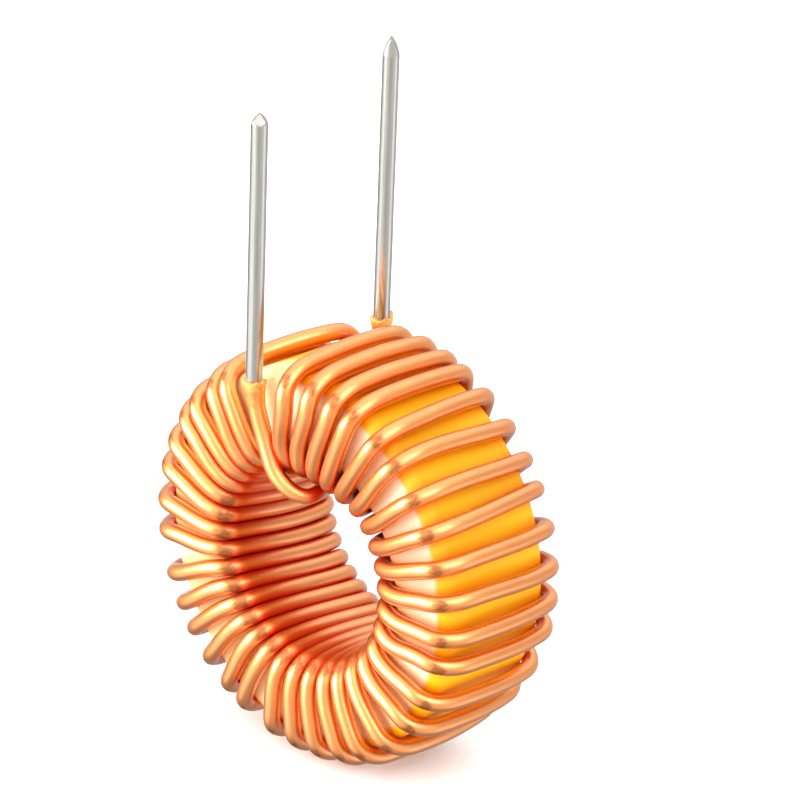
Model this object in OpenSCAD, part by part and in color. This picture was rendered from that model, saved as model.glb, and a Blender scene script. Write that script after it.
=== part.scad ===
// Toroidal inductor: a painted iron-powder ring wound by hand with one enamelled copper wire,
// whose two ends are stripped, tinned and brought up as pins.
// The ring's axis runs along Y with its white face towards -Y. The winding stands on z = 0.

/* [Core] */
// Outer diameter of the painted ring
core_od = 33; // [30:0.5:36]
// Diameter of the bore
core_id = 19.8; // [19.6:0.2:24]
// Width of the ring along its axis
core_width = 11.6; // [9:0.2:13]
// Radius of the ring's four corners
core_corner_r = 1; // [0.5:0.1:1.5]

/* [Wire] */
// Diameter of the wire over its enamel
wire_d = 1.4; // [1:0.05:1.4]
// Clearance between the wire and the core's paint
wire_gap = 0.1; // [0.1:0.01:0.14]
// How much rounder than the other bends those at the front of the rim are
front_bend_ease = 0.2; // [0:0.05:0.2]

/* [Winding] */
// Number of turns over the rim
turns = 34; // [24:1:34]
// Angle of the first turn, clockwise from the top as the white face is seen
first_turn = -7.9; // [-10:0.1:-6]
// Angle from the first turn round to the last
winding_span = 337.6; // [336:0.1:338]
// How far the turns drift from an even pitch, once round the ring
drift_angle = 4.6; // [0:0.1:4.6]
// How far the hand winding wanders about that drift
wander_angle = 0.8; // [0:0.1:0.8]
// Angle by which a wire falls back on its straight way through the bore
bore_slant = 6.6; // [5:0.1:7]
// Angle by which a wire falls back as it bends into the bore's front mouth
mouth_slant = 1.4; // [0:0.1:1.5]
// How far the wires on the upper left lean over on the front face
face_lean = 3.7; // [0:0.1:4]
// Angle that a wire gains on its way across the rim
rim_skew = 0.5; // [0:0.1:1]
// How far the loosely laid wires on the lower right stand off the rim
rim_slack = 0.3; // [0:0.05:0.4]

/* [Leads] */
// Distance of both leads to the left of the ring's axis
lead_offset = 5.1; // [4.8:0.1:5.4]
// How far the front lead stands out from the wires on the front face
front_lead_out = 0.6; // [0.4:0.1:1]
// How far the rear lead stands out from the wires on the rear face
rear_lead_out = 1; // [0.8:0.1:1.4]
// Length of the front lead's straight tinned part
front_lead_length = 22.1; // [5:0.1:30]
// Length of the rear lead's straight tinned part
rear_lead_length = 23.9; // [5:0.1:30]
// Length of the nipped point at a lead's end
lead_tip_length = 1; // [0.5:0.1:1.5]
// Width of the enamel collar left where the lead was stripped
collar_d = 2.2; // [1.5:0.1:2.4]

/* [Hidden] */

wire_sides = 8;    // sides of the swept wire
bend_steps = 4;    // straight steps in a right-angled bend
route_steps = 3;   // straight steps between two points of a lead's route
collar_steps = 2;  // steps over which the wire flares into its collar
round_sides = 48;  // fineness of the small circles
ring_sides = 180;  // fineness of the ring

wire_r = wire_d / 2;
tight_bend_r = core_corner_r + wire_gap + wire_r;  // the wire's bend round the core's corner
front_bend_r = tight_bend_r + front_bend_ease;
turn_pitch = winding_span / (turns - 1);
bore_path_r = core_id / 2 - wire_gap - wire_r;     // ring's axis to a wire in the bore
rim_path_r = core_od / 2 + wire_gap + wire_r;      // ring's axis to a wire on the rim
face_path_y = core_width / 2 + wire_gap + wire_r;  // ring's centre plane to a wire on a face
front_lead_y = face_path_y + front_lead_out;
rear_lead_y = face_path_y + rear_lead_out;

front_strip_drop = 2.2;  // the enamel ends this far below the top of the rim's wires
rear_strip_drop = 0.6;
front_strip_z = rim_path_r - front_strip_drop;
rear_strip_z = rim_path_r - rear_strip_drop;
collar_straight = 0.7;  // the wire's straight end under each of them
lead_tip_d = 0.5;       // what the nippers leave of a lead's end

drift_start = 96;       // phase of the drift, in degrees of turns
// The two waves that the hand winding wanders in: [turns in a wave, phase, share]
wander_waves = [[13, 7, 1], [8.25, -143, 0.6]];
lean_middle = 318;      // angle about which the wires lean over
lean_edge = 0.35;       // cosine of the way to where they start to
lean_fade = 0.25;       // and how much more of it they take to lean in full
slack_middle = 145;     // angle about which the wires stand off the rim
first_skew = 3.5;       // what the first turn gains across the rim over the others
last_pass_lead = 10;    // the last pass enters the bore this far before the first one

// --- The winding's path ---------------------------------------------------------------------
// A station on the path is [distance from the ring's axis, y, angle clockwise from the top].

function wave(k, w) = w[2] * sin(360 * k / w[0] + w[1]);

// Angle at which turn k lies on the front face
function turn_angle(k) = first_turn + turn_pitch * k + drift_angle * sin(turn_pitch * k - drift_start)
    + wander_angle * (wave(k, wander_waves[0]) + wave(k, wander_waves[1]));

function rear_pass_angle(k) = turn_angle(k) - mouth_slant - bore_slant;

function clamp(value) = min(1, max(0, value));

// The wires between about nine and one o'clock lean over as they cross the front face
function lean(angle) = face_lean * clamp((cos(angle - lean_middle) - lean_edge) / lean_fade);

// The first turns gain more across the rim than the others, each half as much as the last
function skew(k) = rim_skew + first_skew * pow(0.5, k);

// The wires around five o'clock stand off the rim
function slack(angle) = rim_slack * pow(max(0, cos(angle - slack_middle)), 2);

// A right-angled bend that turns through the given angles while the station's angle changes
function bend(centre_r, centre_y, bend_r, from, angle_from, angle_to) =
    [for (i = [0:bend_steps]) let (part = i / bend_steps, a = from + 90 * part)
        [centre_r + bend_r * cos(a), centre_y + bend_r * sin(a),
         angle_from + (angle_to - angle_from) * part]];

function rear_mouth(angle) =
    bend(bore_path_r + tight_bend_r, face_path_y - tight_bend_r, tight_bend_r, 90, angle, angle);

// One turn: through the bore to the front, out over the white face and back across the rim
function turn(k) =
    let (a = turn_angle(k), rim_a = a + lean(a), r = rim_path_r + slack(a))
    concat(
        rear_mouth(rear_pass_angle(k)),
        bend(bore_path_r + tight_bend_r, tight_bend_r - face_path_y, tight_bend_r, 180,
             a - mouth_slant, a),
        bend(r - front_bend_r, front_bend_r - face_path_y, front_bend_r, 270, rim_a, rim_a),
        bend(r - tight_bend_r, face_path_y - tight_bend_r, tight_bend_r, 0,
             rim_a + skew(k), rim_a + skew(k)));

function station_point(s) = [s[0] * sin(s[2]), s[1], s[0] * cos(s[2])];

// --- The leads' routes, as points from the ring's centre ------------------------------------

// Down behind the first turn to the mouth of the first pass
rear_route = [
    [-lead_offset, rear_lead_y, rear_strip_z - collar_straight],
    [0.1 - lead_offset, rear_lead_y - 0.1, rear_strip_z - 1.9],
    [0.5 - lead_offset, rear_lead_y - 0.5, bore_path_r + 3.9],
    station_point([bore_path_r + tight_bend_r + 1, face_path_y, rear_pass_angle(0)])
];

// A point of the hook: x, y as a share of the way to the face, and the height above a wire
// that lies at the top of the bore
function hook_point(x, y_share, rise) = [x, y_share * face_path_y, bore_path_r + rise];

// Down through the bore's mouth in a hook, then over the white face and up to the front lead
front_route = [
    hook_point(-4.2, 0.6, -1.8),
    hook_point(-3.2, 0.35, -2.2),
    hook_point(-2, 0.1, -2.4),
    hook_point(-0.6, -0.25, -2.7),
    hook_point(0.5, -0.65, -2.9),
    hook_point(0.4, -0.9, -3),
    hook_point(-1, -1.03, -2.5),
    [-2.6, -front_lead_y, bore_path_r - 1.2],
    [1.2 - lead_offset, -front_lead_y, bore_path_r + 1.2],
    [0.3 - lead_offset, -front_lead_y, bore_path_r + 3.6],
    [-lead_offset, -front_lead_y, front_strip_z - collar_straight]
];

// A smooth curve through the points, whose ends keep the direction of their last steps
function smooth_route(p) =
    [for (i = [0:len(p) - 2], j = [0:route_steps - 1])
        let (t = j / route_steps,
             before = p[max(i - 1, 0)], after = p[min(i + 2, len(p) - 1)],
             d0 = (p[i + 1] - before) / 2, d1 = (after - p[i]) / 2)
        p[i] * (2 * pow(t, 3) - 3 * pow(t, 2) + 1) + d0 * (pow(t, 3) - 2 * pow(t, 2) + t)
            + p[i + 1] * (3 * pow(t, 2) - 2 * pow(t, 3)) + d1 * (pow(t, 3) - pow(t, 2))];

function without_last(p) = [for (i = [0:len(p) - 2]) p[i]];

wound_path = [for (k = [0:turns - 1]) for (s = turn(k)) station_point(s)];
last_mouth = [for (s = rear_mouth(360 + rear_pass_angle(0) - last_pass_lead)) station_point(s)];
wire_path = concat(
    [[-lead_offset, rear_lead_y, rear_strip_z]],
    smooth_route(rear_route), wound_path, without_last(last_mouth),
    smooth_route(concat([last_mouth[bend_steps]], front_route)),
    [front_route[len(front_route) - 1], [-lead_offset, -front_lead_y, front_strip_z]]);

// Height of the ring's axis above the floor, on which the lowest turn stands
centre_z = wire_r - min([for (p = wire_path) p[2]]);

// --- The swept wire -------------------------------------------------------------------------

function unit(v) = v / norm(v);

// The wire's radius at ring i of n: it flares into a collar over its first and last steps
function ring_r(i, n) =
    let (steps_to_end = min(i, n - 1 - i))
    wire_r + (collar_d / 2 - wire_r) * max(0, 1 - steps_to_end / collar_steps);

// One ring of the wire's skin, square to the path and turned towards the ring's tangent
function skin_ring(path, i) =
    let (n = len(path),
         along = unit(path[min(i + 1, n - 1)] - path[max(i - 1, 0)]),
         round = unit([path[i][2], 0, -path[i][0]]),
         u = unit(round - (round * along) * along),
         v = cross(along, u),
         r = ring_r(i, n))
    [for (j = [0:wire_sides - 1]) let (a = 360 * (j + 0.5) / wire_sides)
        path[i] + r * (cos(a) * u + sin(a) * v)];

module swept_wire(path) {
    rings = len(path);
    skin = [for (i = [0:rings - 1]) for (p = skin_ring(path, i)) p];
    sides = [for (i = [0:rings - 2], j = [0:wire_sides - 1])
        let (k = (j + 1) % wire_sides, a = i * wire_sides, b = a + wire_sides)
        [a + j, b + j, b + k, a + k]];
    first_end = [for (j = [0:wire_sides - 1]) j];
    last_end = [for (j = [wire_sides - 1:-1:0]) (rings - 1) * wire_sides + j];
    polyhedron(skin, concat([first_end], sides, [last_end]));
}

// --- The pieces -----------------------------------------------------------------------------

// The ring's section beside its axis: a rectangle with four rounded corners
module core_section() {
    wall = (core_od - core_id) / 2;
    translate([core_id / 2, -core_width / 2]) {
        translate([core_corner_r, 0]) square([wall - 2 * core_corner_r, core_width]);
        translate([0, core_corner_r]) square([wall, core_width - 2 * core_corner_r]);
        for (x = [core_corner_r, wall - core_corner_r], y = [core_corner_r, core_width - core_corner_r])
            translate([x, y]) circle(core_corner_r, $fn = round_sides);
    }
}

module core() {
    color([0.98, 0.74, 0.1])
        translate([0, 0, centre_z]) rotate([90, 0, 0]) rotate_extrude($fn = ring_sides)
            core_section();
}

module winding() {
    color([0.85, 0.45, 0.2]) translate([0, 0, centre_z]) swept_wire(wire_path);
}

module lead(length) {
    color([0.8, 0.81, 0.82]) {
        cylinder(h = length, d = wire_d, $fn = round_sides);
        translate([0, 0, length])
            cylinder(h = lead_tip_length, d1 = wire_d, d2 = lead_tip_d, $fn = round_sides);
    }
}

module front_lead() {
    translate([-lead_offset, -front_lead_y, centre_z + front_strip_z]) lead(front_lead_length);
}

module rear_lead() {
    translate([-lead_offset, rear_lead_y, centre_z + rear_strip_z]) lead(rear_lead_length);
}

core();
winding();
front_lead();
rear_lead();
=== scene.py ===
"""Toroidal inductor: a painted iron-powder ring wound by hand with one thick enamelled copper
wire, whose two ends are stripped, tinned and brought up as pins."""

import math

import bpy
import numpy as np
from mathutils import Matrix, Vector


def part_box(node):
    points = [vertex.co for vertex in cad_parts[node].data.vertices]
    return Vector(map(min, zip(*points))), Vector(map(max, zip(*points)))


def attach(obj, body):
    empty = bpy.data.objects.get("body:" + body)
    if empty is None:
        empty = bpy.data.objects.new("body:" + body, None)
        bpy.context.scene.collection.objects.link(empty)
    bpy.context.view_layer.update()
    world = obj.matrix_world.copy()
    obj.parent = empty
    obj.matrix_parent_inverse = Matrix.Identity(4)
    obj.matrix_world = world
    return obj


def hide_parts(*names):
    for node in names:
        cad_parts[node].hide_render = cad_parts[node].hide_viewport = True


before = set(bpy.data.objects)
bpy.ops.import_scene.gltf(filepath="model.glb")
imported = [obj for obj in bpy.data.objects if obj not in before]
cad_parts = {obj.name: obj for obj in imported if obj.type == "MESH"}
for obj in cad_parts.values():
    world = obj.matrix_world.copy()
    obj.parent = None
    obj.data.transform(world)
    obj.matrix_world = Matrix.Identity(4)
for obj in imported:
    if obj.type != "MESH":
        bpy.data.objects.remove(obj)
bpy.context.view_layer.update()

# --- Painted ring ---------------------------------------------------------------------------
# The ring is iron powder pressed to shape, with its edges rounded. It is dipped in yellow
# paint, and then its front face is rolled white, so the white ends softly on the rounding.
# The winding holds it.

ring_low, ring_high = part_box("core")
ring_z = (ring_low.z + ring_high.z) / 2
ring_r = (ring_high.x - ring_low.x) / 2
ring_half_width = (ring_high.y - ring_low.y) / 2
bore_r = 0.0099
ring_corner_r = 0.001
ring_segments = 360
corner_steps = 12
flat_steps = 10
paint_wave = 0.00001
paint_sink = 0.00002
white_edge_r = 0.0158
white_edge_wave = 0.0006
white_off_centre = -0.0005
# Each pair says where a change starts and where it is full: the white going in over the face
# and forward round its edge, the thick white going right, and the cream wash at the top left
# going left, forward and up
white_inward = (white_edge_r + 0.0005, white_edge_r - 0.0001)
white_forward = (-ring_half_width + 0.0012, -ring_half_width + 0.0004)
white_thick = (-0.011, -0.004)
wash_left = (-0.0008, -0.003)
wash_forward = (-0.001, -0.0032)
wash_up = (0.0115, 0.0135)
wash_cover = 0.85
yellow_paint = (0.66, 0.365, 0.001, 1)
white_paint = (0.73, 0.61, 0.44, 1)
thin_white = (0.86, 0.72, 0.34, 1)
white_with_painted_shade = (0.77, 0.36, 0.115, 1)
yellow_with_painted_shade = (0.72, 0.205, 0.001, 1)


class Shade:
    """A node's output in a finish: sums on it add Math nodes, and node() adds any other."""

    def __init__(self, tree, socket=None):
        self.tree, self.socket = tree, socket

    def node(self, kind, settings, values, output=0):
        made = self.tree.nodes.new("ShaderNode" + kind)
        for name, setting in settings.items():
            setattr(made, name, setting)
        for name, value in values.items():
            if isinstance(value, Shade):
                self.tree.links.new(value.socket, made.inputs[name])
            else:
                made.inputs[name].default_value = value
        return Shade(self.tree, made.outputs[output] if made.outputs else None)

    def sum(self, operation, *values):
        return self.node("Math", {"operation": operation}, dict(enumerate(values)))

    def __add__(self, other):
        return self.sum("ADD", self, other)

    __radd__ = __add__

    def __sub__(self, other):
        return self.sum("SUBTRACT", self, other)

    def __rsub__(self, other):
        return self.sum("SUBTRACT", other, self)

    def __mul__(self, other):
        return self.sum("MULTIPLY", self, other)

    __rmul__ = __mul__

    def __pow__(self, other):
        return self.sum("POWER", self, other)

    def step(self, low, high, start=0.0, end=1.0):
        """Runs smoothly from start to end while this value goes from low to high."""
        return self.node("MapRange", {"interpolation_type": "SMOOTHSTEP"},
                         {0: self, 1: low, 2: high, 3: start, 4: end})

    def blend(self, first, second):
        """first where this value is 0, second where it is 1."""
        return self.node("Mix", {"data_type": "RGBA"}, {0: self, 6: first, 7: second}, 2)

    def stretch(self, scale):
        return self.node("VectorMath", {"operation": "MULTIPLY"}, {0: self, 1: scale})

    def grain(self, scale, detail, roughness=0.5):
        """Even noise over this vector, from 0 to 1."""
        return self.node("TexNoise", {}, {"Vector": self, "Scale": scale, "Detail": detail,
                                          "Roughness": roughness})

    def kept(self, name, output=2):
        """What a piece keeps for its finish at each point: a number, or a vector at output 1."""
        return self.node("Attribute", {"attribute_name": name}, {}, output)


def new_finish(name):
    finish = bpy.data.materials.new(name)
    finish.use_nodes = True
    finish.node_tree.nodes.clear()
    return finish, Shade(finish.node_tree)


def make_piece(name, points, faces, finish):
    """A smooth mesh piece that rides with the part."""
    mesh = bpy.data.meshes.new(name)
    mesh.from_pydata([tuple(p) for p in points], [], [tuple(f) for f in faces])
    mesh.polygons.foreach_set("use_smooth", [True] * len(mesh.polygons))
    mesh.materials.append(finish)
    mesh.update()
    piece = bpy.data.objects.new(name, mesh)
    bpy.context.scene.collection.objects.link(piece)
    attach(piece, "root")
    return piece


def wave_noise(values, seed, waves, lowest=1):
    """Smooth random ups and downs over angles in radians, alike at both ends of the circle."""
    draw = np.random.default_rng(seed)
    total = np.zeros_like(values)
    for number in range(lowest, lowest + waves):
        total += draw.normal() * np.sin(number * values + draw.uniform(0, 2 * np.pi))
    return total / math.sqrt(waves)


def ring_outline():
    """The ring's section beside its axis, as (radius, y) points once round, seen from -Y up."""
    points = []
    inner, outer = bore_r + ring_corner_r, ring_r - ring_corner_r
    edge = ring_half_width - ring_corner_r
    corners = [(outer, -edge, -90), (outer, edge, 0), (inner, edge, 90), (inner, -edge, 180)]
    for number, (r, y, start) in enumerate(corners):
        for step in range(corner_steps + 1):
            angle = math.radians(start + 90 * step / corner_steps)
            points.append((r + ring_corner_r * math.cos(angle),
                           y + ring_corner_r * math.sin(angle)))
        r_next, y_next, start_next = corners[(number + 1) % len(corners)]
        here = np.array(points[-1])
        angle = math.radians(start_next)
        there = np.array([r_next + ring_corner_r * math.cos(angle),
                          y_next + ring_corner_r * math.sin(angle)])
        points += [tuple(here + (there - here) * step / flat_steps)
                   for step in range(1, flat_steps)]
    return np.array(points)


outline = ring_outline()
around = np.linspace(0, 2 * np.pi, ring_segments, endpoint=False)
along = np.linspace(0, 2 * np.pi, len(outline), endpoint=False)
sag = (wave_noise(around, 5, 9, 2)[:, None] * wave_noise(along, 6, 3)[None, :]
       + 0.6 * wave_noise(around, 7, 30, 8)[:, None] * wave_noise(along, 8, 8, 2)[None, :])
sag = paint_wave * np.clip(sag, -2, 2) - paint_sink
middle = np.array([(ring_r + bore_r) / 2, 0])
outward = outline - middle
outward /= np.linalg.norm(outward, axis=1)[:, None]
section = outline[None] + sag[..., None] * outward[None]
ring_points = np.stack([section[..., 0] * np.sin(around)[:, None], section[..., 1],
                        ring_z + section[..., 0] * np.cos(around)[:, None]], -1)
count = len(outline)
ring_faces = [(i * count + j, (i + 1) % ring_segments * count + j,
               (i + 1) % ring_segments * count + (j + 1) % count,
               i * count + (j + 1) % count)
              for i in range(ring_segments) for j in range(count)]

ring_finish, shade = new_finish("ring_paint")
place = shade.node("TexCoord", {}, {}, 3)
x, y, z = (shade.node("SeparateXYZ", {}, {0: place}, axis) for axis in range(3))
z = z - ring_z
from_axis = ((x - white_off_centre) * (x - white_off_centre) + z * z) ** 0.5
patches = place.grain(260, 3.0)
white = (from_axis + white_edge_wave * patches).step(*white_inward) * y.step(*white_forward)
peel = place.grain(1400, 2.0)
crevice_shade_painted = shade.kept("crevice_shade_painted")
rolled = x.step(*white_thick).blend(thin_white, white_paint)
# Painted shade and painted copper reflection: beside the wire the paint turns warmer and darker
paint = white.blend(crevice_shade_painted.blend(yellow_paint, yellow_with_painted_shade), crevice_shade_painted.blend(rolled, white_with_painted_shade))
wash = x.step(*wash_left) * y.step(*wash_forward) * z.step(*wash_up)
paint = (wash_cover * wash).blend(paint, thin_white)
skin = shade.node("BsdfPrincipled", {}, {
    "Base Color": paint, "Roughness": 0.4 + 0.14 * patches + 0.1 * white,
    "Specular IOR Level": 0.22,
    "Normal": shade.node("Bump", {}, {"Strength": 0.25, "Distance": 0.00006, "Height": peel})})
shade.node("OutputMaterial", {}, {"Surface": skin})

ring = make_piece("painted_ring", ring_points.reshape(-1, 3), ring_faces, ring_finish)
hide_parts("core")

# --- Winding --------------------------------------------------------------------------------
# One enamelled copper wire, about 1.5 mm thick, is threaded through the ring 34 times by hand and
# pulled down over each rounded edge. It starts behind the first turn, and after the last turn
# it hooks through the mouth of the bore and comes up again over the front face.

# Lengths on the wire, its collars and its leads are in mm, and places on it are counted from
# the ring's centre. Angles go clockwise from the top, as the white face is seen.
wire_r = 0.745
ring_gap = 0.8
turns = 34
first_turn = -7.9
winding_span = 337.6
drift_angle = 4.6
drift_start = 96
wander_angle = 0.8
wander_waves = [(13, 7, 1), (8.25, -143, 0.6)]
early_slip = 1.1
slip_middle = 1.5
slip_reach = 1.2
bore_slant = 6.6
mouth_slant = 1.4
face_lean = 3.7
lean_middle = 318
lean_edge = 0.35
lean_fade = 0.25
rim_skew = 0.5
first_skew = 3.5
last_pass_lead = 10
# How far each turn strays at the rim's front and rear edges, and the degrees by which some slip.
# The seed isn't arbitrary: of 60,000 tried, it is the one whose draw comes nearest to the 16
# strays that were measured, on turns 4 to 11 counted from 0. The other turns' strays weren't
# measured, and the search only favoured small ones there, at a low weight.
strays = np.random.default_rng(26455).normal(-0.1, 0.2, (turns, 2))
slips = {0: (4.7, 2.6), 1: (2.4, 1.3), 10: (-0.9, -0.9), 11: (-2.7, -2.7), 12: (-3, -0.7),
         13: (-2.2, 0), 14: (-0.6, 0), 17: (-1, 0), 18: (-1, 0), 19: (-1.1, 0), 20: (0.2, 0),
         33: (-1.5, 4.5)}
# How many degrees short of lying along the ring each bend ends, so that the wire lifts off it
bore_lift = 4
face_lift = 8
rim_lift = 3
rear_lift = 14
# The bend over the front edge of the rim: how far in from the rim's path and behind the face's
# its middle lies, how much further in and out from there the first turn lies, and the radii of
# its two arcs
corner_in = 0.85
corner_deep = 0.24
first_in = 0.3
first_out = 0.6
face_bend = 1.75
rim_bend = 3.5
first_hang = 0.95
hanging_turns = 4.6
pressed_flat = 0.16
tight_bend = 1000 * ring_corner_r + ring_gap
bore_path = 1000 * bore_r - ring_gap
rim_path = 1000 * ring_r + ring_gap
face_path = 1000 * ring_half_width + ring_gap
pitch = winding_span / (turns - 1)
collar_straight = 0.7
# The wire is drawn a little thicker on the left and in its first turns, and thinner in the hook
left_swell = 0.001
early_swell = 0.045
early_middle = 80
early_reach = 90
hook_squeeze = 0.15
hook_reach = 4
hook_from_end = 13.5
wire_sides = 26
wire_step = 0.44
wire_ease = 0.3
bright_copper = (0.93, 0.32, 0.05, 1)
dull_copper = (0.90, 0.29, 0.04, 1)
drawn_copper = (0.62, 0.17, 0.03, 1)
copper_painted_crevice_shade = (0.73, 0.09, 0.005, 1)
copper_rubbed_painted_reflection = (0.31, 0.08, 0.025, 1)


def sin(degrees):
    return math.sin(math.radians(degrees))


def cos(degrees):
    return math.cos(math.radians(degrees))


def hump(values, middle, reach):
    """1 at the middle, and softly less to both sides of it."""
    return np.exp(-((values - middle) / reach)**2)


def turn_angle(k):
    """Where turn k lies on the front face: even turns that drift, wander and slip a little."""
    wander = sum(size * sin(360 * k / wave + start) for wave, start, size in wander_waves)
    return (first_turn + pitch * k + drift_angle * sin(pitch * k - drift_start)
            + wander_angle * wander + early_slip * hump(k, slip_middle, slip_reach))


def station(radius, y, angle):
    """The point at that distance from the ring's axis."""
    return [radius * sin(angle), y, radius * cos(angle)]


def arc(centre, y, radius, start, end, angle_from, angle_to=None, steps=8):
    """A part of a bend, in the plane of a turn, as points on the wire's path."""
    angle_to = angle_from if angle_to is None else angle_to
    return [station(centre + radius * cos(start + (end - start) * share),
                    y + radius * sin(start + (end - start) * share),
                    angle_from + (angle_to - angle_from) * share)
            for share in np.linspace(0, 1, steps + 1)]


def rear_mouth(angle):
    """The bend from the rear face into the bore."""
    return arc(bore_path + tight_bend, face_path - tight_bend, tight_bend,
               90 + face_lift, 180 - bore_lift, angle)


def turn(k):
    """The four bends of a turn: into the bore, out of it, over the front edge of the rim and
    over its rear edge. The wire lifts a little off the ring before and after each one, and
    over the front edge of the rim it passes in two arcs, the second one wider. The first turns
    hang lower in the mouth of the bore and stand off the front face. On the rim each turn
    strays from its place, and some slip along it. The lowest turns lie flat on the rim."""
    angle = turn_angle(k)
    leaning = min(1, max(0, (cos(angle - lean_middle) - lean_edge) / lean_fade))
    rim_angle = angle + face_lean * leaning
    rear_angle = rim_angle + rim_skew + first_skew * 0.5 ** k
    rim_angle, rear_angle = (
        at + slip + math.degrees(stray / rim_path)
        for at, slip, stray in zip((rim_angle, rear_angle), slips.get(k, (0, 0)), strays[k]))
    lying = max(0, -cos(angle)) ** 12
    radius = rim_path - pressed_flat * lying
    loose = rim_lift * (1 - lying)
    cut, deep = corner_in + first_in * 0.6 ** k, corner_deep - first_out * 0.5 ** k
    hang = first_hang * math.exp(-(k / hanging_turns)**6)
    inner, outer = (size * cos(45) for size in (face_bend, rim_bend))
    return [rear_mouth(angle - mouth_slant - bore_slant),
            arc(bore_path + tight_bend - hang, tight_bend - face_path, tight_bend,
                180 + bore_lift, 270 - face_lift, angle - mouth_slant, angle),
            arc(radius - cut - inner, deep - face_path + inner, face_bend,
                270, 315, rim_angle)
            + arc(radius - cut - outer, deep - face_path + outer, rim_bend,
                  315, 360 - loose, rim_angle)[1:],
            arc(radius - tight_bend, face_path - tight_bend, tight_bend,
                loose, 90 - rear_lift, rear_angle)]


def curve_point(first, out, last, into, t):
    """The point at share t of a curve that leaves first along out and meets last along into."""
    return list(first * (2 * t**3 - 3 * t**2 + 1) + out * (t**3 - 2 * t**2 + t)
                + last * (3 * t**2 - 2 * t**3) + into * (t**3 - t**2))


def span(start, end, steps=12):
    """The wire's free run between two bends: it leaves one and meets the other smoothly, and
    so it bows away from the ring between them."""
    (before, first), (last, after) = np.array(start), np.array(end)
    length = np.linalg.norm(last - first)
    out = (first - before) / np.linalg.norm(first - before) * length
    into = (after - last) / np.linalg.norm(after - last) * length
    return [curve_point(first, out, last, into, t) for t in np.linspace(0, 1, steps + 1)[1:-1]]


def smooth_route(points, steps=9):
    """A smooth curve through points, whose ends keep the direction of their last steps."""
    p = np.array(points)
    route = []
    for i in range(len(p) - 1):
        before, after = p[max(i - 1, 0)], p[min(i + 2, len(p) - 1)]
        out, into = (p[i + 1] - before) / 2, (after - p[i]) / 2
        route += [curve_point(p[i], out, p[i + 1], into, step / steps) for step in range(steps)]
    return route


front_low, front_high = (1000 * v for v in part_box("front_lead"))
rear_low, rear_high = (1000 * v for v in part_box("rear_lead"))
front_x, front_y = (front_low.x + front_high.x) / 2, (front_low.y + front_high.y) / 2
rear_x, rear_y = (rear_low.x + rear_high.x) / 2, (rear_low.y + rear_high.y) / 2
front_strip = front_low.z - 1000 * ring_z
rear_strip = rear_low.z - 1000 * ring_z
first_pass = turn_angle(0) - mouth_slant - bore_slant

# The wire's two ends: down behind the first turn, and through the hook to the front
rear_route = [
    [rear_x, rear_y, rear_strip], [rear_x, rear_y, rear_strip - collar_straight],
    [rear_x + 0.1, rear_y - 0.1, rear_strip - 1.9],
    [rear_x + 0.5, rear_y - 0.5, bore_path + 3.9],
    station(bore_path + tight_bend + 1, face_path, first_pass)]
last_mouth = rear_mouth(360 - last_pass_lead + first_pass)
front_route = [
    last_mouth[-1],
    [-4.2, 0.6 * face_path, bore_path - 2], [-3.2, 0.35 * face_path, bore_path - 2.4],
    [-2, 0.1 * face_path, bore_path - 2.45], [-0.6, -0.25 * face_path, bore_path - 2.4],
    [0.45, -0.65 * face_path, bore_path - 2.5], [0.55, -0.92 * face_path, bore_path - 2.75],
    [-0.55, -1.06 * face_path, bore_path - 2.4], [-2.15, front_y - 0.15, bore_path - 1.2],
    [front_x + 1.5, front_y, bore_path + 1.2], [front_x + 0.5, front_y, bore_path + 3.6],
    [front_x, front_y, front_strip - collar_straight]]

# The wire is bruised at the front edge of the rim, and, but for the last four turns, where it
# leaves the bore. These bends also get a painted dark reflection where they face the camera
wire_path = smooth_route(rear_route)
bruise_reflection_spots = []
for k in range(turns):
    for number, part in enumerate(turn(k)):
        wire_path += span(wire_path[-2:], part[:2]) + part
        if number == 2 or number == 1 and k < turns - 4:
            bruise_reflection_spots.append(part[len(part) // 2])
wire_path += span(wire_path[-2:], last_mouth[:2]) + last_mouth[:-1]
wire_path += smooth_route(front_route)
wire_path += [[front_x, front_y, front_strip - collar_straight],
              [front_x, front_y, front_strip]]


def distance_along(path):
    """How far along the path each of its points is."""
    steps = np.linalg.norm(np.diff(path, axis=0), axis=1)
    return np.concatenate([[0], np.cumsum(steps)])


def even_path(points, spacing, ease, fine_step=0.05, least_step=1e-6):
    """The same path in even steps, with its changes of bend eased over that distance."""
    points = np.array(points)
    apart = np.linalg.norm(np.diff(points, axis=0), axis=1) > least_step
    points = points[np.concatenate([[True], apart])]
    gone = distance_along(points)
    fine = np.linspace(0, gone[-1], round(gone[-1] / fine_step) + 1)
    dense = np.stack([np.interp(fine, gone, points[:, axis]) for axis in range(3)], -1)
    reach = round(3 * ease / fine_step)
    weights = np.exp(-0.5 * (np.arange(-reach, reach + 1) * fine_step / ease) ** 2)
    padded = np.concatenate([2 * dense[0] - dense[reach:0:-1], dense,
                             2 * dense[-1] - dense[-2:-reach - 2:-1]])
    eased = np.stack([np.convolve(padded[:, axis], weights / weights.sum(), "valid")
                      for axis in range(3)], -1)
    even = np.linspace(0, gone[-1], round(gone[-1] / spacing) + 1)
    return np.stack([np.interp(even, fine, eased[:, axis]) for axis in range(3)], -1)


wire_path = even_path(wire_path, wire_step, wire_ease)


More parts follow.
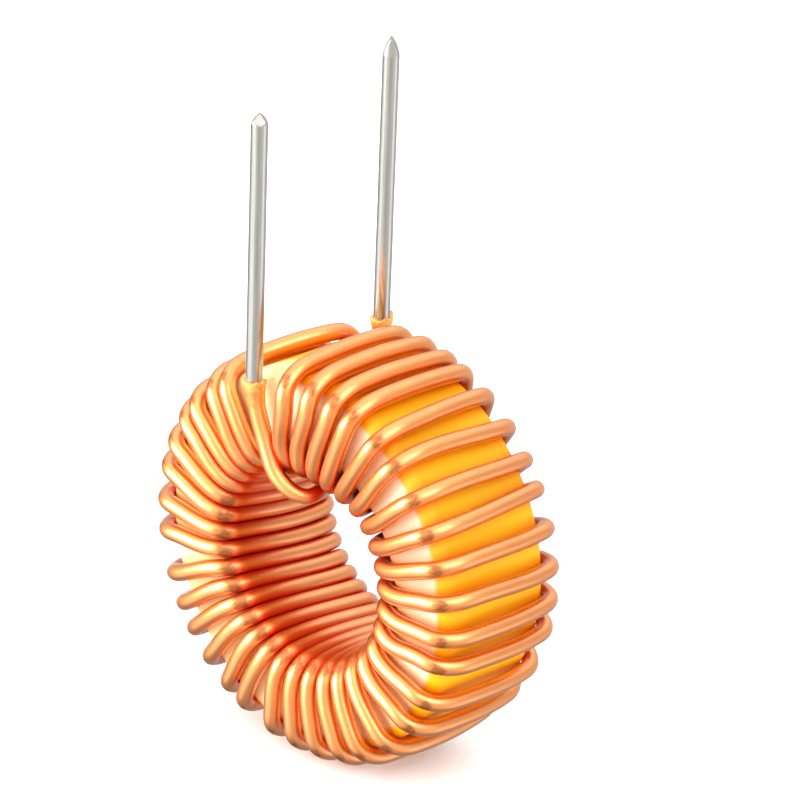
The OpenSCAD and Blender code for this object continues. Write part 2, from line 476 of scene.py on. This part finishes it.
def sweep(path, radius, sides):
    """A round skin along a path: its points, its faces with both ends closed, for each point
    where it lies on the wire (across, across, along), and how far it is out on a bend, which
    is about 1 on the tightest bends."""
    count = len(path)
    forward = np.gradient(path, axis=0)
    forward /= np.linalg.norm(forward, axis=1)[:, None]
    side = np.cross(forward[0], [0.3, 1, 0.2])
    side /= np.linalg.norm(side)
    sides_at = [side]
    for i in range(1, count):
        side = sides_at[-1] - forward[i] * (sides_at[-1] @ forward[i])
        sides_at.append(side / np.linalg.norm(side))
    side = np.array(sides_at)[:, None]
    up = np.cross(forward, side[:, 0])[:, None]
    turn_round = np.linspace(0, 2 * np.pi, sides, endpoint=False)[None, :, None]
    radius = np.broadcast_to(np.asarray(radius, float), (count,))[:, None, None]
    points = path[:, None] + radius * (np.cos(turn_round) * side + np.sin(turn_round) * up)
    gone = distance_along(path)
    places = np.concatenate([np.broadcast_to(part, points.shape[:2] + (1,)) for part in
                             (np.cos(turn_round), np.sin(turn_round), gone[:, None, None])], -1)
    faces = [(i * sides + j, i * sides + (j + 1) % sides,
              (i + 1) * sides + (j + 1) % sides, (i + 1) * sides + j)
             for i in range(count - 1) for j in range(sides)]
    faces += [tuple(range(sides))[::-1], tuple((count - 1) * sides + j for j in range(sides))]
    bending = np.gradient(forward, axis=0) / np.gradient(gone)[:, None]
    bent_out = -2.2 * np.sum((points - path[:, None]) * bending[:, None], axis=-1)
    return points.reshape(-1, 3), faces, places.reshape(-1, 3), bent_out.ravel()


def keep_shade_depth(piece, gaps, near, far):
    """Keeps how much painted shade each point gets for sitting deep between its neighbours,
    given its gaps to them: 1 where the gap is near or less, 0 where it is far or more."""
    share = np.clip((far - gaps) / (far - near), 0, 1)
    kept = piece.data.attributes.new("crevice_shade_painted", "FLOAT", "POINT")
    kept.data.foreach_set("value", (share * share * (3 - 2 * share)).astype(np.float32))


def gap_to_wire(points, own=None, apart=12, batch_size=1500, far_square=100):
    """How far each point is from the nearest skin of the wire. With own, its place among the
    path's points, the stretch of wire beside that place doesn't count."""
    gaps = np.empty(len(points))
    number = np.arange(len(wire_path))
    for first in range(0, len(points), batch_size):
        batch = slice(first, first + batch_size)
        squares = ((points[batch] ** 2).sum(1)[:, None] + (wire_path ** 2).sum(1)[None]
                   - 2 * points[batch] @ wire_path.T)
        if own is not None:
            squares[abs(own[batch, None] - number[None]) < apart] = far_square
        gaps[batch] = np.sqrt(np.maximum(squares.min(1), 0)) - wire_r
    return gaps


def set_places(piece, places, bruised_nipped_painted_reflection):
    """Keeps where each point lies on the wire, and how much bruise and painted dark reflection,
    or nip, it has.
    """
    kept = piece.data.attributes.new("on_wire", "FLOAT_VECTOR", "POINT")
    kept.data.foreach_set("vector", places.astype(np.float32).ravel())
    kept = piece.data.attributes.new("bruised_nipped_painted_reflection", "FLOAT", "POINT")
    kept.data.foreach_set("value", bruised_nipped_painted_reflection.astype(np.float32))


# Fine lines from drawing run along the wire, broad smears dull it, and a mottle breaks up its
# bruises and the painted dark reflection on its bends
copper_finish, shade = new_finish("enamelled_copper")
on_wire = shade.kept("on_wire", 1)
draw_lines = on_wire.stretch((1.0, 1.0, 0.05)).grain(7.0, 4.0, 0.6)
smears = on_wire.stretch((1.0, 1.0, 0.4)).grain(1.1, 2.0)
mottle = on_wire.stretch((1.0, 1.0, 0.9)).grain(3.2, 4.0, 0.65)
bruised_nipped_painted_reflection = shade.kept("bruised_nipped_painted_reflection")
crevice_shade_painted = shade.kept("crevice_shade_painted")
# Painted reflection: the bruised bends are painted dark brown, also standing in for the dark
# camera side
rubbed_and_painted_reflection = (bruised_nipped_painted_reflection + 0.9 * (mottle - 0.5)).step(0.1, 0.8) * mottle.step(0.25, 0.65, 0.55)
copper = smears.step(0.3, 0.75).blend(bright_copper, dull_copper)
copper = (0.45 * draw_lines.step(0.4, 0.7)).blend(copper, drawn_copper)
# Painted shade: deep between turns and against the ring the copper is painted a deeper red
copper = crevice_shade_painted.blend(copper, copper_painted_crevice_shade)
skin = shade.node("BsdfPrincipled", {}, {
    "Base Color": (0.88 * rubbed_and_painted_reflection).blend(copper, copper_rubbed_painted_reflection), "Metallic": 1.0,
    "Roughness": 0.34 + 0.14 * draw_lines + 0.1 * rubbed_and_painted_reflection,
    "Coat Weight": 1.0 - 0.8 * rubbed_and_painted_reflection - 0.4 * crevice_shade_painted, "Coat Roughness": 0.25, "Coat IOR": 1.8,
    "Normal": shade.node("Bump", {}, {"Strength": 0.3, "Distance": 0.00003,
                                      "Height": draw_lines + 0.5 * mottle})})
shade.node("OutputMaterial", {}, {"Surface": skin})

gone = distance_along(wire_path)
hook_at = gone[-1] - hook_from_end
radius = wire_r - left_swell * wire_path[:, 0] - hook_squeeze * hump(gone, hook_at, hook_reach)
radius += early_swell * hump(gone, early_middle, early_reach)
points, faces, places, bent_out = sweep(wire_path, radius, wire_sides)
beside = gap_to_wire(points, np.arange(len(points)) // wire_sides)
from_axis = np.hypot(points[:, 0], points[:, 2])
from_ring = np.stack([abs(from_axis - 500 * (ring_r + bore_r)) - 500 * (ring_r - bore_r),
                      abs(points[:, 1]) - 1000 * ring_half_width])
from_ring = np.where(from_ring.min(0) > 0, np.hypot(*from_ring), from_ring.max(0))
wire = make_piece("wound_wire", 0.001 * points + np.array([0, 0, ring_z]), faces,
                  copper_finish)
from_spot = np.linalg.norm(wire_path[:, None] - np.array(bruise_reflection_spots)[None], axis=-1).min(1)
bruised_nipped_painted_reflection = hump(from_spot, 0, 0.5).repeat(wire_sides) * np.clip(bent_out / 0.6, 0, 1)**5
set_places(wire, places, bruised_nipped_painted_reflection)
# The front mouth of the bore and the bottom of the hook get more painted shade than their gaps
# alone give
mouth_shade_painted = np.clip(bore_path + 0.9 - from_axis, 0, 1) * hump(points[:, 1], -0.65 * face_path, 2.6)
hook_shade_painted = hump(gone, hook_at + 1.6, 2.8).repeat(wire_sides)
keep_shade_depth(wire, np.minimum(beside, from_ring + 0.1) - 0.35 * mouth_shade_painted - hook_shade_painted, 0.1, 0.6)
keep_shade_depth(ring, gap_to_wire(1000 * (ring_points.reshape(-1, 3) - [0, 0, ring_z])), 0.1, 1.1)
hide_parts("winding")

# --- Enamel collars -------------------------------------------------------------------------
# Where the wire was stripped for tinning, the heat left a swollen sleeve of scorched enamel
# round its end, torn off at its top, with the solder running in under it.

lead_r = 0.72
collar_turned = 0.7
collar_flattened = 0.14
pale_gold = (0.84, 0.35, 0.06, 1)
dark_gold = (0.50, 0.17, 0.015, 1)
pale_sleeve = (0.86, 0.32, 0.07, 1)
dark_sleeve = (0.76, 0.22, 0.035, 1)


def make_collar(name, end, top, height, half_width, seed, lip_at, lip_rise, sides=56):
    """A torn sleeve of enamel round that end of the wire's path. It swells from the wire up to
    its ragged edge, and its top closes in and rises a little against the lead. One side of the
    edge stands up in a lip."""
    draw = np.random.default_rng(seed)
    angles = np.linspace(0, 2 * np.pi, sides, endpoint=False)
    ragged = 0.10 * wave_noise(angles, seed, 7, 2) + 0.05 * draw.normal(size=sides)
    ragged += lip_rise * np.exp(-((np.degrees(angles) - lip_at + 180) % 360 - 180)**2 / 500)
    uneven = 0.04 * wave_noise(angles, seed + 3, 5, 2)
    swell = half_width - wire_r
    # Radius, height over the top, share of the uneven width, and share of the ragged edge
    profile = [(wire_r - 0.15, -height, 0, 0)]
    profile += [(wire_r - 0.02 + (swell + 0.02) * share, -height * (1 - share), share, share**4)
                for share in np.linspace(0, 1, 16)]
    profile += [(half_width - 0.07, 0.05, 0.7, 1.02), (half_width - 0.16, 0.06, 0.5, 1),
                (lead_r + 0.06, 0.09, 0.2, 0.9), (lead_r - 0.1, 0.2, 0, 0.8)]
    points, places = [], []
    end = end[np.argsort(end[:, 2])]
    for r, up, swollen, torn in profile:
        r = r + uneven * swollen
        x, y = (np.interp(top + up, end[:, 2], end[:, axis]) for axis in range(2))
        wide = r * np.cos(angles)
        deep = r * np.sin(angles) * (1 - collar_flattened * swollen)
        points.append(np.stack([
            x + wide * math.cos(collar_turned) - deep * math.sin(collar_turned),
            y + wide * math.sin(collar_turned) + deep * math.cos(collar_turned),
            top + up + ragged * torn], -1))
        places.append(np.stack([np.cos(angles), np.sin(angles), np.full(sides, up)], -1))
    points = np.array(points)
    rows = len(points)
    faces = [(i * sides + j, i * sides + (j + 1) % sides,
              (i + 1) % rows * sides + (j + 1) % sides, (i + 1) % rows * sides + j)
             for i in range(rows) for j in range(sides)]
    points = 0.001 * points.reshape(-1, 3) + np.array([0, 0, ring_z])
    collar = make_piece(name, points, faces, enamel_finish)
    set_places(collar, np.array(places).reshape(-1, 3), np.zeros(len(points)))


enamel_finish, shade = new_finish("scorched_enamel")
place = shade.node("TexCoord", {}, {}, 3)
crust = place.grain(2600, 4.0, 0.6)
height = shade.node("SeparateXYZ", {}, {0: shade.kept("on_wire", 1)}, 2)
gold = (height + 0.8 * (crust - 0.5)).step(-0.9, -0.1)
scorched = crust.step(0.3, 0.7)
skin = shade.node("BsdfPrincipled", {}, {
    "Base Color": gold.blend(scorched.blend(dark_sleeve, pale_sleeve),
                             scorched.blend(dark_gold, pale_gold)),
    "Metallic": gold.step(0.0, 1.0, 0.75, 0.15),
    "Roughness": 0.28 + 0.3 * crust, "Coat Weight": 0.7, "Coat Roughness": 0.2,
    "Normal": shade.node("Bump", {}, {"Strength": 0.5, "Distance": 0.0001, "Height": crust})})
shade.node("OutputMaterial", {}, {"Surface": skin})

make_collar("front_collar", wire_path[-14:], front_strip + 0.1, 2.3, 1.05, 21, 200, 0.15)
make_collar("rear_collar", wire_path[:6], rear_strip + 0.1, 1.1, 1.02, 34, 20, 0.6)

# --- Tinned leads ---------------------------------------------------------------------------
# Both ends of the wire are stripped and dipped in solder, which leaves a bright skin with soft
# runs in it. Side cutters nip their tips to a blunt wedge, with small burrs.

lead_sides = 40
lead_rows = 60
nip_rows = 16
nip_turned = 43
nip_edge = 0.2
# The skin gives way by this share of what the cutters take, so that no two points of it meet
nip_give = 0.97
tip_burr = np.array([0.05, 0.03, 0])
bright_tin = (0.42, 0.41, 0.385, 1)
dull_tin = (0.38, 0.37, 0.345, 1)
nipped_tin = (0.39, 0.38, 0.345, 1)

tin_finish, shade = new_finish("solder_coat")
on_wire = shade.kept("on_wire", 1)
runs = on_wire.stretch((1.0, 1.0, 0.12)).grain(1.6, 3.0)
specks = on_wire.stretch((1.0, 1.0, 0.5)).grain(6.0, 3.0)
nipped = shade.kept("bruised_nipped_painted_reflection")
tin = runs.step(0.3, 0.7).blend(dull_tin, bright_tin)
skin = shade.node("BsdfPrincipled", {}, {
    "Base Color": nipped.blend(tin, nipped_tin),
    "Metallic": 0.9, "Roughness": 0.17 + 0.06 * specks + 0.22 * nipped,
    "Normal": shade.node("Bump", {}, {"Strength": 0.1, "Distance": 0.00004,
                                      "Height": runs})})
shade.node("OutputMaterial", {}, {"Surface": skin})


def make_lead(name, node, seed, nip_height, fullness, front_nip):
    """A stripped end of the wire. Its tip is nipped from both sides, less from the back, and
    from the front by front_nip. The higher fullness is, the later its sides turn in."""
    low, high = (1000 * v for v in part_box(node))
    x, y = (low.x + high.x) / 2, (low.y + high.y) / 2
    bottom, top = low.z - 1000 * ring_z, high.z - 1000 * ring_z
    heights = np.concatenate([np.linspace(bottom, top - nip_height, lead_rows),
                              np.linspace(top - nip_height, top, nip_rows + 1)[1:]])
    path = np.stack([np.full(len(heights), x), np.full(len(heights), y), heights], -1)
    draw = np.random.default_rng(seed)
    radius = lead_r * (1 + 0.008 * np.interp(
        heights, np.linspace(bottom, top, 12), draw.normal(size=12)))
    points, faces, places = sweep(path, radius, lead_sides)[:3]
    points = points.reshape(len(heights), lead_sides, 3)
    across = np.array([cos(nip_turned), sin(nip_turned), 0])
    toward = np.array([sin(nip_turned), -cos(nip_turned), 0])
    for row, height in zip(points, heights):
        share = max(0, (height - (top - nip_height)) / nip_height)
        for side, least, hold in ((across, 0.05, 1.0), (-across, 0.05, 1.0),
                                  (toward, 0.0, front_nip), (-toward, 0.15, 0.6)):
            limit = lead_r * (1 - (1 - least) * hold * share**fullness)
            offset = (row - [x, y, height]) @ side
            row -= np.outer(nip_give * np.maximum(offset - limit, 0), side)
        row += share**8 * tip_burr * draw.normal()
    points = 0.001 * points.reshape(-1, 3) + np.array([0, 0, ring_z])
    lead = make_piece(name, points, faces, tin_finish)
    nip = np.clip((heights - top + nip_height) / nip_edge, 0, 1)
    set_places(lead, places, nip.repeat(lead_sides))
    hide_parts(node)


make_lead("front_tinned_lead", "front_lead", 41, 0.9, 1.35, 0.9)
make_lead("rear_tinned_lead", "rear_lead", 42, 1.6, 1.5, 0)

# --- Studio ---------------------------------------------------------------------------------
# The part stands on a plain pale table, in a soft room light with brighter and darker sides.
# A large soft box is on its left and a weak one on its right, and a spot on each side keeps
# the table pale.

table_half = 3.0
room_light = 0.56
# The room's sides that are brighter than the rest, or darker where the first number is below
# 0: by how much, in which direction, and the angles from there between which it fades
room_sides = [(1.32, 0, 90, 22, 75), (0.5, 60, 0, 35, 80), (-0.15, -80, -30, 14, 38),
              (-0.3, 142, 32, 8, 25), (-0.2, 0, -90, 25, 60), (0.3, 175, 10, 15, 55),
              (1.4, -22, -21, 6, 42), (2.8, 76, 38, 6, 34), (1.3, 124, -23, 3, 22),
              (1.3, -122, -23, 3, 22), (-0.24, 54, -24, 8, 24)]
view_azimuth, view_elevation, view_roll = 43.437, 23.343, 2.255
table = bpy.data.meshes.new("table")
table.from_pydata([(-table_half, -table_half, 0), (table_half, -table_half, 0),
                   (table_half, table_half, 0), (-table_half, table_half, 0)], [], [(0, 1, 2, 3)])
table_finish, shade = new_finish("table_white")
skin = shade.node("BsdfPrincipled", {}, {"Base Color": (0.9, 0.9, 0.9, 1), "Roughness": 0.9,
                                         "Specular IOR Level": 0.1})
shade.node("OutputMaterial", {}, {"Surface": skin})
table.materials.append(table_finish)
table_top = bpy.data.objects.new("table", table)
bpy.context.scene.collection.objects.link(table_top)
table_top.visible_glossy = False

world = bpy.data.worlds.new("studio")
bpy.context.scene.world = world
world.use_nodes = True
world.node_tree.nodes.clear()
shade = Shade(world.node_tree)
toward = shade.node("TexCoord", {}, {})


def from_side(azimuth, elevation, narrow, wide):
    """1 on that side of the room, up to narrow degrees from its middle, and 0 past wide
    degrees. Azimuth 0 is in front."""
    side = (sin(azimuth) * cos(elevation), -cos(azimuth) * cos(elevation), sin(elevation))
    return toward.node("VectorMath", {"operation": "DOT_PRODUCT"}, {0: toward, 1: side},
                       1).step(cos(wide), cos(narrow))


light = room_light
for strength, *side in room_sides:
    light = light + strength * from_side(*side)
light = light * (1.0 - 0.2 * from_side(view_azimuth, view_elevation, 7, 17))
shade.node("OutputWorld", {}, {"Surface": shade.node("Background", {}, {
    "Color": (1, 1, 1, 1), "Strength": light})})
bpy.context.scene.view_settings.view_transform = "Standard"


def soft_box(name, azimuth, elevation, distance, width, height, brightness, mirrored=True):
    """A lamp behind an oblong diffuser that faces the ring. Azimuth 0 is in front of it."""
    lamp = bpy.data.lights.new(name, "AREA")
    lamp.shape = "RECTANGLE"
    lamp.size, lamp.size_y = width, height
    lamp.energy = brightness * math.pi * width * height
    box = bpy.data.objects.new(name, lamp)
    away = np.array([sin(azimuth) * cos(elevation), -cos(azimuth) * cos(elevation),
                     sin(elevation)])
    across = np.array([cos(azimuth), sin(azimuth), 0])
    upward = np.cross(away, across)
    turned = Matrix([list(row) for row in zip(across, upward, away)]).to_4x4()
    turned.translation = distance * away + np.array([0, 0, ring_z])
    box.matrix_world = turned
    box.visible_camera = False
    box.visible_glossy = mirrored
    bpy.context.scene.collection.objects.link(box)


def pool_lamp(name, azimuth, out, watts):
    """A spot straight above the table beside the part, whose light fades out at the part."""
    lamp = bpy.data.lights.new(name, "SPOT")
    lamp.energy, lamp.spot_size, lamp.spot_blend = watts, math.radians(34), 1.0
    lamp.shadow_soft_size = 0.03
    spot = bpy.data.objects.new(name, lamp)
    spot.location = (out * sin(azimuth), -out * cos(azimuth), 0.35)
    spot.visible_camera = False
    bpy.context.scene.collection.objects.link(spot)


soft_box("left_box", -30, 14, 0.45, 0.4, 0.34, 9.6)
soft_box("right_fill", 105, 12, 0.6, 0.5, 0.4, 0.8, mirrored=False)
pool_lamp("left_pool", -28, 0.12, 14)
pool_lamp("right_pool", 112, 0.14, 14)

# --- Camera ---------------------------------------------------------------------------------
# A long lens above and to the right of the ring's axis.

view_distance = 0.3
focal_pixels = 3569.26
ring_pixel = (354.32, 542.80)
picture_middle = 400

away = np.array([sin(view_azimuth) * cos(view_elevation),
                 -cos(view_azimuth) * cos(view_elevation), sin(view_elevation)])
across = np.cross(-away, [0, 0, 1])
across /= np.linalg.norm(across)
upward = np.cross(across, -away)
across, upward = (cos(view_roll) * across + sin(view_roll) * upward,
                  cos(view_roll) * upward - sin(view_roll) * across)
shift = [(pixel - picture_middle) / focal_pixels * view_distance for pixel in ring_pixel]
eye = away * view_distance - across * shift[0] + upward * shift[1] + np.array([0, 0, ring_z])
camera_data = bpy.data.cameras.new("camera")
camera_data.sensor_width = 36
camera_data.lens = 36 * focal_pixels / (2 * picture_middle)
camera_data.clip_start, camera_data.clip_end = 0.01, 20
camera = bpy.data.objects.new("camera", camera_data)
view = Matrix([list(row) for row in zip(across, upward, away)]).to_4x4()
view.translation = eye
camera.matrix_world = view
bpy.context.scene.collection.objects.link(camera)
bpy.context.scene.camera = camera
